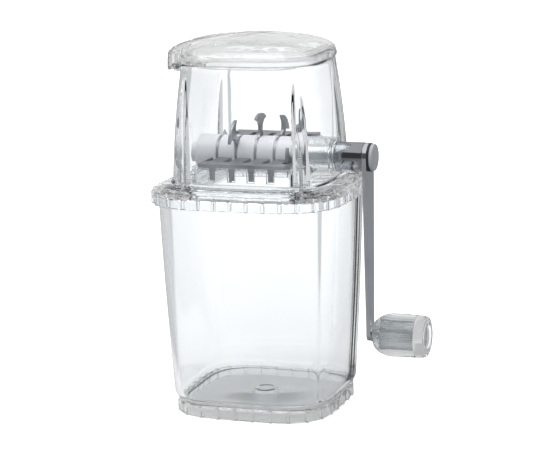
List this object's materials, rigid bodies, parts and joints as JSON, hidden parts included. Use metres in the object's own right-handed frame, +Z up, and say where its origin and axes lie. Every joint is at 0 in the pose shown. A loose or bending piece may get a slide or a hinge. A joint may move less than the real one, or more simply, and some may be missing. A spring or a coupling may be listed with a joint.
{
  "type": "ice crusher",
  "caption": "Clear table-top ice crusher: square tapered tub, lift-off crusher head with hinged pillow lid, claw rotor between steel combs, and a side crank with a barrel knob.",
  "frame": {"origin": "centre of the foot ring's resting face, under the middle of the tub", "axes": "+Z up through the tub and head, +X to the crank's side, front on -Y, lid hinge on -X"},
  "size_m": [0.1742, 0.1284, 0.2435],
  "materials": {
    "clear_plastic": "clear, glossy",
    "drum_plastic": "pale grey, satin",
    "polished_steel": "polished",
    "brushed_steel": "satin",
    "black_washer": "matt"
  },
  "bodies": {
    "tub": {"ice_tub": "clear_plastic", "foot_ring": "clear_plastic"},
    "head": {"collar": "clear_plastic", "hopper": "clear_plastic", "housing_screws": "brushed_steel", "cutter_tray": "clear_plastic", "front_comb": "brushed_steel", "rear_comb": "brushed_steel", "bush_left": "drum_plastic", "bush_right": "clear_plastic", "hinge_pin": "brushed_steel"},
    "lid": {"lid": "clear_plastic"},
    "crank": {"shaft": "brushed_steel", "spacer_1": "drum_plastic", "spacer_2": "drum_plastic", "spacer_3": "drum_plastic", "spacer_4": "drum_plastic", "spacer_5": "drum_plastic", "spacer_6": "drum_plastic", "blade_1": "brushed_steel", "blade_2": "brushed_steel", "blade_3": "brushed_steel", "blade_4": "brushed_steel", "blade_5": "brushed_steel", "hub_sleeve": "polished_steel", "crank_arm": "polished_steel", "lock_washer": "black_washer", "cap_nut": "brushed_steel", "knob_spindle": "brushed_steel", "spindle_collar": "brushed_steel"},
    "knob": {"knob_shell": "clear_plastic", "knob_core": "clear_plastic", "knob_cap": "clear_plastic"}
  },
  "joints": [
    {"name": "head_lift", "type": "slide", "parent": "tub", "child": "head", "axis": [0, 0, 1], "range_m": [0, 0.06]},
    {"name": "lid_hinge", "type": "hinge", "parent": "head", "child": "lid", "pos_m": [-0.0505, 0, 0.222], "axis": [0, -1, 0], "range_deg": [0, 105]},
    {"name": "crank_turn", "type": "hinge", "parent": "head", "child": "crank", "pos_m": [0, 0, 0.1646], "axis": [1, 0, 0], "continuous": true},
    {"name": "knob_spin", "type": "hinge", "parent": "crank", "child": "knob", "pos_m": [0.09, 0, 0.0494], "axis": [1, 0, 0], "continuous": true}
  ]
}
